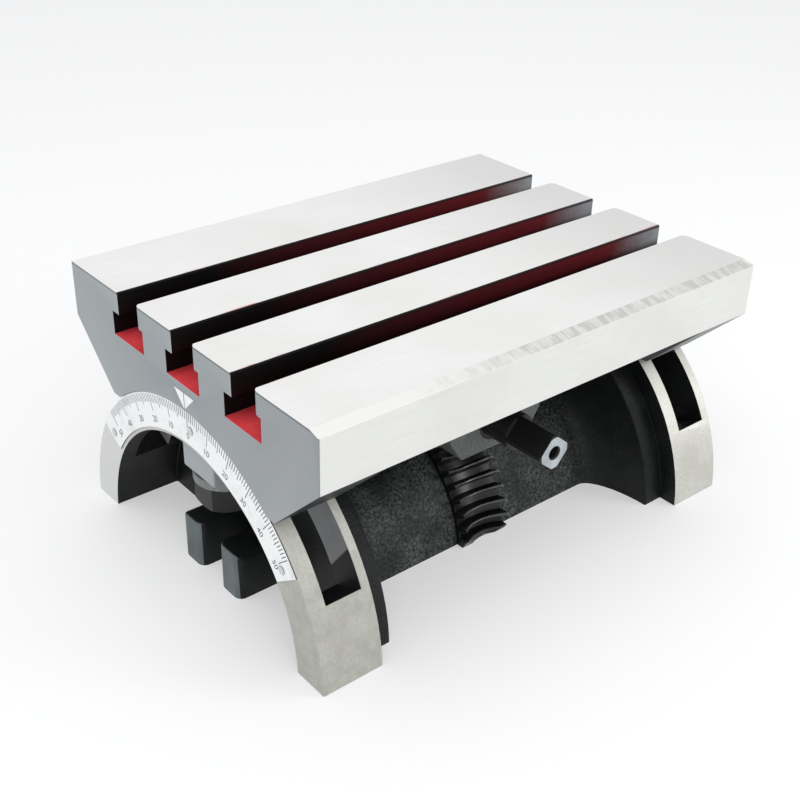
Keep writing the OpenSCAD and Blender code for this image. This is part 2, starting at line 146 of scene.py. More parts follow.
class Looks:
    """A node material being built: a Principled shader, with helpers that add nodes to it."""

    def __init__(self, name, colour, roughness, metallic=0.0, specular=0.5):
        self.material = bpy.data.materials.new(name)
        self.material.use_nodes = True
        self.tree = self.material.node_tree
        self.shader = self.tree.nodes["Principled BSDF"]
        self.shader.inputs["Base Color"].default_value = (*colour, 1)
        self.shader.inputs["Roughness"].default_value = roughness
        self.shader.inputs["Metallic"].default_value = metallic
        self.shader.inputs["Specular IOR Level"].default_value = specular
        self.place = self.tree.nodes.new("ShaderNodeTexCoord").outputs["Object"]

    def node(self, kind, **values):
        """A new node of a kind, with its settings."""
        made = self.tree.nodes.new(kind)
        for key, value in values.items():
            setattr(made, key, value)
        return made

    def link(self, source, target):
        self.tree.links.new(source, target)

    def feed(self, value, socket):
        """Gives a socket a number, a colour or another node's output."""
        if isinstance(value, bpy.types.NodeSocket):
            self.link(value, socket)
        elif isinstance(value, tuple) and len(value) == 3:
            socket.default_value = (*value, 1)
        else:
            socket.default_value = value

    def stretched(self, scale):
        """The place, scaled by a factor along each axis."""
        mapping = self.node("ShaderNodeMapping")
        mapping.inputs["Scale"].default_value = scale
        self.link(self.place, mapping.inputs["Vector"])
        return mapping.outputs["Vector"]

    def noise(self, scale, detail=3.0, roughness=0.55, stretch=None):
        made = self.node("ShaderNodeTexNoise")
        made.inputs["Scale"].default_value = scale
        made.inputs["Detail"].default_value = detail
        made.inputs["Roughness"].default_value = roughness
        self.link(self.stretched(stretch) if stretch else self.place, made.inputs["Vector"])
        return made.outputs["Fac"]

    def cells(self, scale):
        made = self.node("ShaderNodeTexVoronoi")
        made.inputs["Scale"].default_value = scale
        self.link(self.place, made.inputs["Vector"])
        return made.outputs["Distance"]

    def ramp(self, value, *stops):
        """A colour ramp; each stop is a position and a grey level or a colour."""
        made = self.node("ShaderNodeValToRGB")
        elements = made.color_ramp.elements
        while len(elements) < len(stops):
            elements.new(0.5)
        for element, (position, level) in zip(elements, stops):
            element.position = position
            element.color = (*level, 1) if isinstance(level, tuple) else (level, level, level, 1)
        self.link(value, made.inputs["Fac"])
        return made.outputs["Color"]

    def spread(self, value, low=0.3, high=0.7, most=1.0):
        """0 where value is low or less, rising to most where it is high or more."""
        return self.ramp(value, (low, 0.0), (high, most))

    def mix(self, factor, first, second):
        """The first colour where factor is 0, and the second where it is 1."""
        made = self.node("ShaderNodeMix", data_type="RGBA")
        for name, value in (("Factor", factor), ("A", first), ("B", second)):
            self.feed(value, made.inputs[name])
        return made.outputs["Result"]

    def math(self, operation, first, second):
        made = self.node("ShaderNodeMath", operation=operation)
        self.feed(first, made.inputs[0])
        self.feed(second, made.inputs[1])
        return made.outputs[0]

    def times(self, first, second):
        return self.math("MULTIPLY", first, second)

    def inverted(self, value):
        return self.math("SUBTRACT", 1.0, value)

    def axis(self, name):
        """The place along X, Y or Z, in metres."""
        made = self.node("ShaderNodeSeparateXYZ")
        self.link(self.place, made.inputs[0])
        return made.outputs[name]

    def mapped(self, value, start, end, low=0.0, high=1.0, kind="LINEAR"):
        """Goes from low to high as value goes from start to end, and no further."""
        made = self.node("ShaderNodeMapRange", interpolation_type=kind)
        self.feed(value, made.inputs["Value"])
        limits = {"From Min": start, "From Max": end, "To Min": low, "To Max": high}
        for name, limit in limits.items():
            made.inputs[name].default_value = limit
        return made.outputs[0]

    def between(self, value, low, high, soft):
        """1 where value lies between low and high, fading to 0 over soft."""
        rise = self.mapped(value, low - soft, low, kind="SMOOTHSTEP")
        fall = self.mapped(value, high + soft, high, kind="SMOOTHSTEP")
        return self.times(rise, fall)

    def along(self, name, start, end):
        """Rises from 0 at start to 1 at end of an axis."""
        return self.mapped(self.axis(name), start, end, kind="SMOOTHSTEP")

    def worn_edges(self, low, high):
        """0 where the surface is flatter than low, and 1 on outer edges sharper than high."""
        pointiness = self.node("ShaderNodeNewGeometry").outputs["Pointiness"]
        return self.spread(pointiness, low, high)

    def bump(self, *layers):
        """Each layer is a height, the distance in metres it stands for, and its strength."""
        normal = None
        for height, distance, strength in layers:
            made = self.node("ShaderNodeBump")
            made.inputs["Distance"].default_value = distance
            made.inputs["Strength"].default_value = strength
            self.link(height, made.inputs["Height"])
            if normal:
                self.link(normal, made.inputs["Normal"])
            normal = made.outputs["Normal"]
        self.link(normal, self.shader.inputs["Normal"])

    def colour(self, value):
        self.link(value, self.shader.inputs["Base Color"])

    def roughness(self, value, low, high):
        """Roughness that follows value from low to high."""
        self.link(self.mapped(value, 0.0, 1.0, low, high), self.shader.inputs["Roughness"])


def srgb(red, green, blue):
    """Linear colour of an sRGB colour given in 0 to 255."""
    def linear(level):
        share = level / 255
        return share / 12.92 if share <= 0.04045 else ((share + 0.055) / 1.055) ** 2.4
    return (linear(red), linear(green), linear(blue))


# ------------------------------------------------------------------ materials

def ground_top():
    """The ground working face: near white, with painted shade towards the far end and red paint smeared out of the
    T-slots.
    """
    looks = Looks("ground_top", srgb(232, 232, 230), 0.5, metallic=0.12, specular=0.35)
    lines = looks.noise(60, detail=4, roughness=0.6, stretch=(1, 40, 40))
    steel = looks.mix(looks.spread(lines), srgb(221, 221, 219), srgb(231, 231, 229))
    cloud = looks.spread(looks.noise(14), 0.35, 0.7, 0.5)
    steel = looks.mix(cloud, steel, srgb(214, 213, 208))
    # painted shade: the top darkens towards the far end
    far_end_shade = looks.times(looks.along("X", 0.0, HALF_LENGTH), 0.8)
    steel = looks.mix(far_end_shade, steel, srgb(202, 202, 199))
    y = looks.axis("Y")
    smear_width = 1.2 * MM
    smears = None
    for offset in SLOT_OFFSETS:
        mouth = offset + NECK_HALF
        beside = looks.between(y, mouth, mouth + smear_width, smear_width)
        smears = beside if smears is None else looks.math("MAXIMUM", smears, beside)
    patches = looks.noise(26, roughness=0.7, stretch=(1, 3, 1))
    smears = looks.times(smears, looks.spread(patches, 0.54, 0.66, 0.75))
    looks.colour(looks.mix(smears, steel, srgb(214, 120, 130)))
    looks.roughness(lines, 0.44, 0.58)
    looks.bump((lines, 0.02 * MM, 0.35))
    return looks.material


def milled_bevel():
    """The bevel along the front edge: cutter marks across it, faint towards the dial end."""
    looks = Looks("milled_bevel", srgb(200, 201, 195), 0.42, metallic=0.3, specular=0.3)
    marks = looks.noise(330, roughness=0.5, stretch=(1, 0.15, 0.15))
    tone = looks.mix(looks.spread(marks, 0.44, 0.56), srgb(190, 191, 185), srgb(209, 209, 204))
    fine = looks.noise(700, detail=2, roughness=0.5, stretch=(1, 0.1, 0.1))
    tone = looks.mix(looks.spread(fine, 0.6, 0.68, 0.7), tone, srgb(224, 225, 221))
    raggedness = looks.times(looks.noise(220, roughness=0.6), 90 * MM)
    ragged = looks.math("ADD", looks.axis("X"), raggedness)
    fade = looks.between(ragged, 0.35 * HALF_LENGTH, BEYOND, 0.8 * HALF_LENGTH)
    looks.colour(looks.mix(fade, srgb(228, 228, 224), tone))
    looks.roughness(marks, 0.34, 0.5)
    looks.bump((marks, 0.03 * MM, 0.5))
    return looks.material


def ground_side():
    """Ground upright sides, with fine marks along the table."""
    looks = Looks("ground_side", srgb(230, 231, 228), 0.48, metallic=0.2, specular=0.35)
    lines = looks.noise(70, detail=4, roughness=0.6, stretch=(0.6, 1, 30))
    steel = looks.mix(looks.spread(lines), srgb(212, 213, 209), srgb(223, 224, 221))
    cloud = looks.spread(looks.noise(18), 0.4, 0.7, 0.5)
    looks.colour(looks.mix(cloud, steel, srgb(205, 205, 198)))
    looks.roughness(lines, 0.42, 0.56)
    looks.bump((lines, 0.02 * MM, 0.4))
    return looks.material


def end_paint():
    """Blue-grey paint on the table's ends and the clamp shoes, with painted shade darkening it towards the front.
    """
    looks = Looks("end_paint", srgb(136, 142, 146), 0.42)
    cloud = looks.noise(22, detail=4)
    grain = looks.noise(1400, detail=2)
    paint = looks.mix(cloud, srgb(126, 132, 136), srgb(139, 145, 149))
    # painted shade: darker towards the front, where less light falls
    front = looks.times(looks.inverted(looks.along("Y", -HALF_WIDTH, 0.0)), 0.6)
    paint = looks.mix(front, paint, srgb(120, 124, 126))
    edges = looks.times(looks.worn_edges(0.515, 0.56), 0.35)
    paint = looks.mix(edges, paint, srgb(186, 190, 191))
    dark_line = looks.times(looks.along("Z", TOP - 1.5 * MM, TOP - 0.7 * MM), 0.75)
    looks.colour(looks.mix(dark_line, paint, srgb(84, 90, 93)))
    looks.roughness(cloud, 0.36, 0.5)
    looks.bump((grain, 0.03 * MM, 0.35), (cloud, 0.3 * MM, 0.2))
    return looks.material


def slot_wall():
    """T-slot walls in red paint, with painted light and shade along them: black at the dial end, maroon along the
    middle, grey at the far end.
    """
    looks = Looks("slot_wall", srgb(60, 20, 24), 0.55, specular=0.12)
    raggedness = looks.times(looks.noise(40, detail=2), 12 * MM)
    ragged = looks.math("ADD", looks.axis("X"), raggedness)
    # painted shade makes the red walls black at the dial end and maroon in the middle, and painted light greys the
    # far end
    tone = looks.ramp(
        looks.mapped(ragged, -HALF_LENGTH, HALF_LENGTH),
        (0.0, srgb(12, 13, 13)), (0.2, srgb(14, 13, 13)), (0.36, srgb(62, 22, 26)),
        (0.88, srgb(112, 34, 40)), (0.93, srgb(126, 104, 108)), (1.0, srgb(140, 143, 146)))
    grain = looks.noise(300)
    tone = looks.mix(looks.times(grain, 0.35), tone, srgb(20, 16, 17))
    # painted shadow under the lip, and painted shade deep in the neck
    lip_shadow = looks.along("Z", TOP - 1.8 * MM, TOP - 1.0 * MM)
    depth = looks.inverted(looks.along("Z", TOP - NECK_DEPTH, TOP - 0.55 * NECK_DEPTH))
    shade = looks.times(looks.math("MAXIMUM", lip_shadow, depth), 0.85)
    looks.colour(looks.mix(shade, tone, srgb(10, 8, 8)))
    looks.roughness(grain, 0.4, 0.62)
    looks.bump((grain, 0.05 * MM, 0.3))
    return looks.material


def slot_floor():
    """Red paint on the floors of the T-slots, with painted shade darkening it away from the dial end."""
    looks = Looks("slot_floor", srgb(220, 56, 64), 0.5, specular=0.25)
    cloud = looks.noise(120, detail=4)
    paint = looks.mix(cloud, srgb(204, 44, 54), srgb(236, 82, 86))
    # painted shade: the floor darkens away from the open dial end
    inward_shade = looks.along("X", -HALF_LENGTH, -HALF_LENGTH + 40 * MM)
    looks.colour(looks.mix(inward_shade, paint, srgb(120, 26, 34)))
    looks.roughness(cloud, 0.36, 0.55)
    looks.bump((looks.noise(900), 0.05 * MM, 0.4))
    return looks.material


def ring_steel():
    """Ground faces of the base: warm light grey with a fine, slightly blotchy grain, painted shade at the front of
    the dial end and painted light at the rear.
    """
    looks = Looks("ring_steel", srgb(198, 197, 190), 0.38, metallic=0.45)
    grain = looks.noise(700, roughness=0.7)
    steel = looks.mix(looks.spread(grain), srgb(186, 185, 176), srgb(210, 210, 205))
    stains = looks.spread(looks.noise(35, detail=4), 0.4, 0.75, 0.6)
    steel = looks.mix(stains, steel, srgb(172, 170, 158))
    # painted shade, patchy in places, darkens the front of the dial end
    front = looks.inverted(looks.along("Y", -100 * MM, -50 * MM))
    dial_end = looks.inverted(looks.along("X", -100 * MM, 0.0))
    painted_light = looks.times(front, dial_end)
    steel = looks.mix(looks.times(painted_light, 0.5), steel, srgb(158, 158, 150))
    mottle = looks.spread(looks.noise(150, detail=5, roughness=0.7), 0.42, 0.72, 0.45)
    steel = looks.mix(looks.times(painted_light, mottle), steel, srgb(138, 137, 126))
    # painted light brightens the rear
    rear = looks.times(looks.along("Y", 40 * MM, 90 * MM), 0.8)
    looks.colour(looks.mix(rear, steel, srgb(216, 218, 216)))
    looks.roughness(grain, 0.3, 0.5)
    looks.bump((grain, 0.03 * MM, 0.4))
    return looks.material


def cast_paint(name, dark, light, depth=0.35 * MM, speckled=0.0, reach=BARREL_REACH,
               far_tone=None):
    """Paint over a rough casting, with a pebbled skin of the given depth.

    speckled is the share of bright specks within reach of the middle of its length, and
    far_tone is its colour at the plain end.
    """
    looks = Looks(name, dark, 0.42, specular=0.2)
    lumps = looks.noise(520, detail=4, roughness=0.62)
    skin = looks.math("ADD", looks.times(looks.cells(700), 0.5), lumps)
    waves = looks.noise(60)
    tone = looks.mix(looks.spread(waves, 0.35), dark, light)
    if far_tone:
        tone = looks.mix(looks.along("X", 100 * MM, 130 * MM), tone, far_tone)
    if speckled:
        specks = looks.spread(looks.noise(640, roughness=0.6), 0.38, 0.74)
        patches = looks.ramp(looks.noise(48), (0.38, 0.3), (0.62, 1.0))
        middle = looks.between(looks.axis("X"), -reach, reach, 18 * MM)
        share = looks.times(looks.times(specks, patches), looks.times(middle, speckled))
        tone = looks.mix(share, tone, srgb(112, 116, 115))
    looks.colour(tone)
    looks.roughness(lumps, 0.34, 0.6)
    looks.bump((skin, depth, 0.8), (waves, 0.8 * MM, 0.4))
    return looks.material


def slot_land():
    """The inner side of the dial end's curved slot: grey, and black low down."""
    looks = Looks("slot_land", srgb(130, 132, 134), 0.5, metallic=0.1, specular=0.25)
    steel = looks.mix(looks.noise(90), srgb(116, 118, 120), srgb(144, 146, 148))
    across = looks.math("ADD", looks.times(looks.axis("Y"), 0.8),
                        looks.times(looks.axis("Z"), 0.6))
    # grey above this line across the side, black below it
    grey_part = looks.between(across, -LAND_OFFSET, BEYOND, 1.2 * MM)
    looks.colour(looks.mix(grey_part, srgb(14, 16, 16), steel))
    looks.bump((looks.noise(600), 0.05 * MM, 0.4))
    return looks.material


def gear_iron(name, dark, light, painted_light):
    """The toothed band: machined, oiled and blackened, with a painted highlight on its sharp edges."""
    looks = Looks(name, dark, 0.3)
    lines = looks.noise(90, roughness=0.6, stretch=(20, 1, 1))
    # painted highlight on the sharp edges
    edges = looks.times(looks.worn_edges(0.53, 0.62), painted_light)
    looks.colour(looks.mix(edges, looks.mix(lines, dark, light), srgb(150, 153, 153)))
    looks.roughness(lines, 0.22, 0.38)
    looks.bump((lines, 0.03 * MM, 0.4))
    return looks.material


def rough_iron():
    """Unpainted, sandy cast iron of the bearing brackets."""
    looks = Looks("rough_iron", srgb(96, 99, 98), 0.55, metallic=0.1, specular=0.25)
    grain = looks.noise(900, detail=4, roughness=0.7)
    tone = looks.mix(looks.spread(grain, 0.35), srgb(70, 73, 73), srgb(132, 135, 134))
    looks.colour(looks.mix(looks.times(looks.noise(120), 0.5), tone, srgb(70, 72, 71)))
    looks.roughness(grain, 0.45, 0.7)
    looks.bump((grain, 0.25 * MM, 0.7))
    return looks.material


def turned_steel(name, dark, light, roughness, metallic=0.85, stretch=(1, 30, 1)):
    """Turned or milled steel, with tool marks across the axis that stretch scales most."""
    looks = Looks(name, light, roughness, metallic=metallic)
    lines = looks.noise(120, roughness=0.6, stretch=stretch)
    tone = looks.mix(looks.spread(lines), dark, light)
    looks.colour(looks.mix(looks.times(looks.noise(60), 0.35), tone, dark))
    looks.roughness(lines, roughness * 0.8, roughness * 1.25)
    looks.bump((lines, 0.02 * MM, 0.4))
    return looks.material


def enamel():
    """Satin white enamel with faint rubbed patches."""
    white = srgb(240, 242, 242)
    looks = Looks("enamel", white, 0.4)
    cloud = looks.noise(70, detail=5, roughness=0.65)
    looks.colour(looks.mix(looks.spread(cloud, 0.52, 0.68, 0.5), white, srgb(206, 210, 210)))
    looks.roughness(cloud, 0.32, 0.5)
    looks.bump((looks.noise(500), 0.02 * MM, 0.3))
    return looks.material


def ink():
    """Unevenly faded black ink, also used as painted shade round the rivet heads."""
    looks = Looks("ink", srgb(40, 42, 44), 0.6)
    looks.colour(looks.mix(looks.noise(160), srgb(30, 32, 34), srgb(96, 99, 101)))
    return looks.material


ALL_WAYS = (1, 1, 1)

TOP_STEEL = ground_top()
SIDE_STEEL = ground_side()
END_PAINT = end_paint()
SLOT_WALL = slot_wall()
SLOT_FLOOR = slot_floor()
RING_STEEL = ring_steel()
BEVEL_STEEL = milled_bevel()
BLACK_CAST = cast_paint("black_cast", srgb(12, 14, 14), srgb(24, 26, 26), speckled=0.75)
SLOT_ROUGH = cast_paint("slot_rough", srgb(14, 16, 16), srgb(30, 33, 32), 0.6 * MM,
                        speckled=0.7, reach=HALF_LENGTH)
LUG_PAINT = cast_paint("lug_paint", srgb(82, 89, 92), srgb(102, 109, 111), 0.12 * MM)
SMOOTH_BLACK = cast_paint("smooth_black", srgb(14, 16, 16), srgb(24, 27, 27), 0.1 * MM)
UNDER_PAINT = cast_paint("under_paint", srgb(28, 30, 31), srgb(44, 47, 48), 0.25 * MM,
                         far_tone=srgb(128, 130, 132))
SLOT_LAND = slot_land()
GEAR_BLACK = gear_iron("gear_black", srgb(7, 8, 8), srgb(13, 14, 14), painted_light=0.35)
# a lighter copy for the tooth tips, as painted light
GEAR_LIT_TIP = gear_iron("gear_lit_tip", srgb(50, 53, 53), srgb(74, 78, 78), painted_light=0.8)
ROUGH_IRON = rough_iron()
BRIGHT_STEEL = turned_steel("bright_steel", srgb(150, 152, 152), srgb(214, 215, 214), 0.3)
CLAMP_STEEL = turned_steel("clamp_steel", srgb(96, 98, 99), srgb(150, 152, 153), 0.36,
                           metallic=0.6)
BARE_END = turned_steel("bare_end", srgb(150, 158, 162), srgb(190, 197, 200), 0.4,
                        metallic=0.3, stretch=ALL_WAYS)
BLACK_STEEL = turned_steel("black_steel", srgb(13, 14, 14), srgb(27, 28, 29), 0.45,
                           metallic=0.2)
RIVET_STEEL = turned_steel("rivet_steel", srgb(186, 188, 188), srgb(226, 228, 228), 0.35,
                           metallic=0.3)
WORM_STEEL = turned_steel("worm_steel", srgb(84, 86, 88), srgb(140, 142, 144), 0.3,
                          stretch=ALL_WAYS)
BRONZE = turned_steel("bronze", srgb(34, 28, 20), srgb(66, 54, 36), 0.45, metallic=0.6,
                      stretch=ALL_WAYS)
ENAMEL = enamel()
INK_AND_SHADE = ink()


# ------------------------------------------------------------------ mesh helpers

def new_piece(name, bm, materials, body, replaced=()):
    """Turns bm into a piece that rides on body."""
    mesh = bpy.data.meshes.new(name)
    bm.to_mesh(mesh)
    bm.free()
    for material in materials:
        mesh.materials.append(material)
    mesh.polygons.foreach_set("use_smooth", [True] * len(mesh.polygons))
    mesh.set_sharp_from_angle(angle=SMOOTH_BELOW)
    piece = bpy.data.objects.new(name, mesh)
    bpy.context.scene.collection.objects.link(piece)
    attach(piece, body)
    for node in replaced:
        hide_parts(node)
    return piece


def cleaned_copy(node, merge):
    """The CAD node's mesh as a bmesh with its flat faces joined up."""
    bm = bmesh.new()
    bm.from_mesh(frame["nodes"][node].data)
    bmesh.ops.remove_doubles(bm, verts=bm.verts, dist=merge)
    bmesh.ops.dissolve_limit(bm, angle_limit=FLAT_BELOW, verts=bm.verts, edges=bm.edges)
    bmesh.ops.dissolve_degenerate(bm, edges=bm.edges, dist=WELD)
    return bm


def cut(bm, point, direction, trims):
    """Cuts bm along a plane, and trims off the part that lies in its direction if asked."""
    geometry = [*bm.verts, *bm.edges, *bm.faces]
    bmesh.ops.bisect_plane(bm, geom=geometry, dist=FINE_WELD, plane_co=point,
                           plane_no=direction, clear_outer=trims)
    if trims:
        bmesh.ops.holes_fill(bm, edges=bm.edges, sides=0)


def weigh_edges(bm, width, sharp):
    """Gives each sharp edge a bevel weight for its width, and returns the largest width.

    width is a distance, or a function that takes an edge's middle.
    """
    weights = bm.edges.layers.float.new("bevel_weight_edge")
    largest = 0.01 * MM
    widths = {}
    for edge in bm.edges:
        if len(edge.link_faces) == 2 and edge.calc_face_angle() > math.radians(sharp):
            middle = (edge.verts[0].co + edge.verts[1].co) / 2
            widths[edge] = width(middle) if callable(width) else width
            largest = max(largest, widths[edge])
    for edge, value in widths.items():
        edge[weights] = value / largest
    return largest


def refined(node, name, materials, pick=None, width=0.4 * MM, segments=2, sharp=28,
            cuts=(), merge=WELD):
    """A copy of a CAD node with edges sharper than sharp degrees rounded to width.

    pick gives a face's material, which is otherwise the first. Each cut is a point, a
    direction, and whether the part that lies that way is trimmed off.
    """
    bm = cleaned_copy(node, merge)
    for point, direction, trims in cuts:
        cut(bm, point, direction, trims)
    for face in bm.faces:
        face.material_index = materials.index(pick(face)) if pick else 0
    largest = weigh_edges(bm, width, sharp)
    piece = new_piece(name, bm, materials, body_of_node[node], [node])
    rounding = piece.modifiers.new("rounded_edges", "BEVEL")
    rounding.limit_method = "WEIGHT"
    rounding.width = largest
    rounding.segments = segments
    rounding.use_clamp_overlap = False
    rounding.harden_normals = True
    rounding.miter_outer = "MITER_ARC"
    return piece


def mean_radius(face):
    """Mean distance of a face's corners from the tilt axis."""
    radii = [math.hypot(corner.co.y, corner.co.z - AXIS_Z) for corner in face.verts]
    return sum(radii) / len(radii)


def faces_along(face, least=FACING):
    """Whether a face looks along the table, either way."""
    return abs(face.normal.x) > least


# ------------------------------------------------------------------ table

def table_face(face):
    """Which of the table's materials a face takes."""
    centre, normal = face.calc_center_median(), face.normal
    in_slot = centre.z > TOP - SLOT_DEPTH - NEAR and any(
        abs(centre.y - offset) < HEAD_REACH for offset in SLOT_OFFSETS)
    if faces_along(face) and abs(centre.x) > HALF_LENGTH - NEAR:
        return END_PAINT
    if in_slot and centre.z < TOP - 0.3 * MM:
        return SLOT_FLOOR if normal.z > FACING and centre.z < TOP - NECK_DEPTH else SLOT_WALL
    if normal.z > 0.6 and centre.z > TOP - RIM_DEPTH:  # takes in the rear chamfer
        leans_forward = normal.y < -0.1
        on_bevel = centre.y < -HALF_WIDTH + BEVEL_WIDTH and leans_forward
        return BEVEL_STEEL if on_bevel else TOP_STEEL
    if abs(centre.y) > HALF_WIDTH - RIM_DEPTH and centre.z > TOP - SIDE_DEPTH:
        return SIDE_STEEL
    if abs(mean_radius(face) - RING_RADIUS) < NEAR and abs(centre.x) > RING_BACK - NEAR:
        return RING_STEEL
    return UNDER_PAINT


def table_width(middle):
    """How far an edge of the table is rounded: least by its small chamfers."""
    at_end = abs(middle.x) > HALF_LENGTH - NEAR
    at_side = abs(middle.y) > HALF_WIDTH - NEAR
    if at_side and (at_end or middle.z > TOP - NEAR):
        return CHAMFER_ROUNDING
    if middle.z < TOP - CAST_DEPTH and abs(middle.x) < RING_BACK - NEAR:
        return UNDERSIDE_ROUNDING
    return GROUND_ROUNDING


def pointer_face(face):
    """The zero mark is white, with an inked line down its middle."""
    on_line = abs(face.calc_center_median().y) < POINTER_LINE
    return INK_AND_SHADE if on_line and faces_along(face) else ENAMEL


def make_table():
    refined("table_casting", "table_top",
            [TOP_STEEL, SIDE_STEEL, END_PAINT, SLOT_WALL, SLOT_FLOOR, UNDER_PAINT, RING_STEEL,
             BEVEL_STEEL],
            table_face, table_width, merge=TABLE_WELD)
    refined("zero_pointer", "zero_mark", [ENAMEL, INK_AND_SHADE], pointer_face,
            0.05 * MM, segments=1,
            cuts=[((0, y, 0), (0, 1, 0), False) for y in (-POINTER_LINE, POINTER_LINE)])


# ------------------------------------------------------------------ base

def on_lug(point):
    """Whether a point belongs to a hold-down lug."""
    return abs(point.x) > LUG_START and abs(point.y) < LUG_SIDE and point.z < LUG_TOP


def base_face(face):
    """Which of the base's materials a face takes."""
    centre, normal = face.calc_center_median(), face.normal
    radius = mean_radius(face)
    far = abs(centre.x)
    on_bed = centre.z < 0.2 * MM and normal.z < -SQUARE
    faces_out = normal.x ** 2 < 0.1
    on_ring = far > RING_BACK - CLOSE and abs(radius - RING_RADIUS) < 0.6 * MM
    on_end = far > RING_FACE - CLOSE and faces_along(face, SQUARE)
    if on_bed or (on_ring and faces_out) or on_end:
        return RING_STEEL
    if on_lug(centre):
        return LUG_PAINT if faces_along(face) else SMOOTH_BLACK
    in_slot = RING_BORE + NEAR < radius < RING_RADIUS - NEAR and far > RING_BACK + NEAR
    if in_slot and centre.x < 0 and faces_along(face):
        return SLOT_LAND if normal.x < 0 else SLOT_ROUGH
    return BLACK_CAST


def base_width(middle):
    """How far an edge of the base is rounded: least on its machined faces."""
    radius = math.hypot(middle.y, middle.z - AXIS_Z)
    if middle.z < CLOSE:
        return RING_ROUNDING
    if on_lug(middle):
        return LUG_ROUNDING
    if radius > RING_BORE - NEAR and abs(middle.x) > RING_BACK - NEAR:
        return RING_ROUNDING
    return BARREL_ROUNDING


def gear_face(face):
    """Tooth tips take a lighter copy of the band's black as painted light, and the band's sides are painted."""
    if faces_along(face, SQUARE):
        return SMOOTH_BLACK
    centre = face.calc_center_median()
    from_worm = math.hypot(WORM_Z - AXIS_Z - mean_radius(face), centre.x)
    on_tip = abs(from_worm - THROAT) < CLOSE and centre.z > LIT_TIPS_ABOVE
    return GEAR_LIT_TIP if on_tip else GEAR_BLACK


def gear_width(middle):
    """How far an edge of the toothed band is rounded: hardly at all near the bed."""
    return GEAR_ROUNDING if middle.z > FOOT_HEIGHT else FOOT_ROUNDING


def make_base():
    refined("base_casting", "base_body",
            [RING_STEEL, BLACK_CAST, LUG_PAINT, SLOT_LAND, SMOOTH_BLACK, SLOT_ROUGH],
            base_face, base_width)
    refined("gear_segment", "gear_band", [GEAR_BLACK, GEAR_LIT_TIP, SMOOTH_BLACK],
            gear_face, gear_width, segments=1, sharp=40,
            cuts=[((0, side * LIP_FOOT, 0), (0, side * LIP_OUT, LIP_DOWN), True)
                  for side in (-1, 1)])


# ------------------------------------------------------------------ scale

def on_dial(radius, degrees, x):
    """A point on the dial face; degrees run from upright towards the front."""
    angle = math.radians(degrees)
    return Vector((x, -radius * math.sin(angle), AXIS_Z + radius * math.cos(angle)))


def along_dial(degrees):
    """The way that the degrees run, at a place on the dial."""
    angle = math.radians(degrees)
    return Vector((0, -math.cos(angle), -math.sin(angle)))


def raise_outline(bm, corners, proud):
    """A closed prism that stands out from the dial face."""
    low = [bm.verts.new(corner) for corner in corners]
    high = [bm.verts.new(corner - Vector((proud, 0, 0))) for corner in corners]
    count = len(corners)
    bm.faces.new(high)
    bm.faces.new(list(reversed(low)))
    for i in range(count):
        bm.faces.new((low[i], low[(i + 1) % count], high[(i + 1) % count], high[i]))


def add_tick(bm, degrees, inner, outer, face):
    """A raised radial line on the dial."""
    side = along_dial(degrees) * TICK_WIDTH / 2
    corners = [on_dial(radius, degrees, face) + side * sign
               for radius, sign in ((inner, -1), (outer, -1), (outer, 1), (inner, 1))]
    raise_outline(bm, corners, TICK_HEIGHT)


def number_mesh(text):
    """A number as a thin solid, centred on its middle."""
    curve = bpy.data.curves.new("number", "FONT")
    curve.body = text
    curve.size = NUMBER_SIZE
    curve.align_x = "CENTER"
    curve.align_y = "CENTER"
    curve.extrude = NUMBER_DEPTH
    holder = bpy.data.objects.new("number", curve)
    bpy.context.scene.collection.objects.link(holder)
    bpy.context.view_layer.update()
    graph = bpy.context.evaluated_depsgraph_get()
    mesh = bpy.data.meshes.new_from_object(holder.evaluated_get(graph))
    bpy.data.objects.remove(holder)
    return mesh


def add_number(bm, degrees, face):
    """A number of degrees at its place on the dial, with its foot towards the tilt axis."""
    mesh = number_mesh(str(abs(degrees)))
    angle = math.radians(degrees)
    outward = Vector((0, -math.sin(angle), math.cos(angle)))
    turn = Matrix((along_dial(degrees), outward, Vector((-1, 0, 0)))).transposed().to_4x4()
    mesh.transform(Matrix.Translation(on_dial(NUMBER_RADIUS, degrees, face)) @ turn)
    bm.from_mesh(mesh)
    bpy.data.meshes.remove(mesh)


def make_scale():
    refined("scale_plate", "scale_plate_white", [ENAMEL, INK_AND_SHADE],
            lambda face: ENAMEL if faces_along(face) else INK_AND_SHADE, 0.12 * MM, segments=1)
    face = plate_low.x
    outer = RING_RADIUS - TICK_MARGIN
    marks = bmesh.new()
    for degrees in range(-LAST_DEGREE, LAST_DEGREE + 1):
        length = next(length for step, length in TICK_LENGTHS if degrees % step == 0)
        add_tick(marks, degrees, outer - length, outer, face + TICK_SUNK)
    for degrees in range(-LAST_DEGREE, LAST_DEGREE + 1, 10):
        add_number(marks, degrees, face)
    bmesh.ops.remove_doubles(marks, verts=marks.verts, dist=0.002 * MM)
    bmesh.ops.dissolve_degenerate(marks, edges=marks.edges, dist=0.001 * MM)
    bmesh.ops.recalc_face_normals(marks, faces=marks.faces)
    new_piece("scale_marks", marks, [INK_AND_SHADE], "base")
    # the rivet heads' sides take painted shade, for the dark rim round each head
    refined("scale_rivets", "scale_pins", [RIVET_STEEL, INK_AND_SHADE],
            lambda face: RIVET_STEEL if faces_along(face, 0.5) else INK_AND_SHADE, 0.2 * MM, segments=3)


# ------------------------------------------------------------------ worm drive

def shaft_face(face):
    """The shaft is black, apart from the bare end of its square."""
    at_end = face.normal.y < -SQUARE and face.calc_center_median().y < shaft_low.y + NEAR
    return BARE_END if at_end else BLACK_STEEL


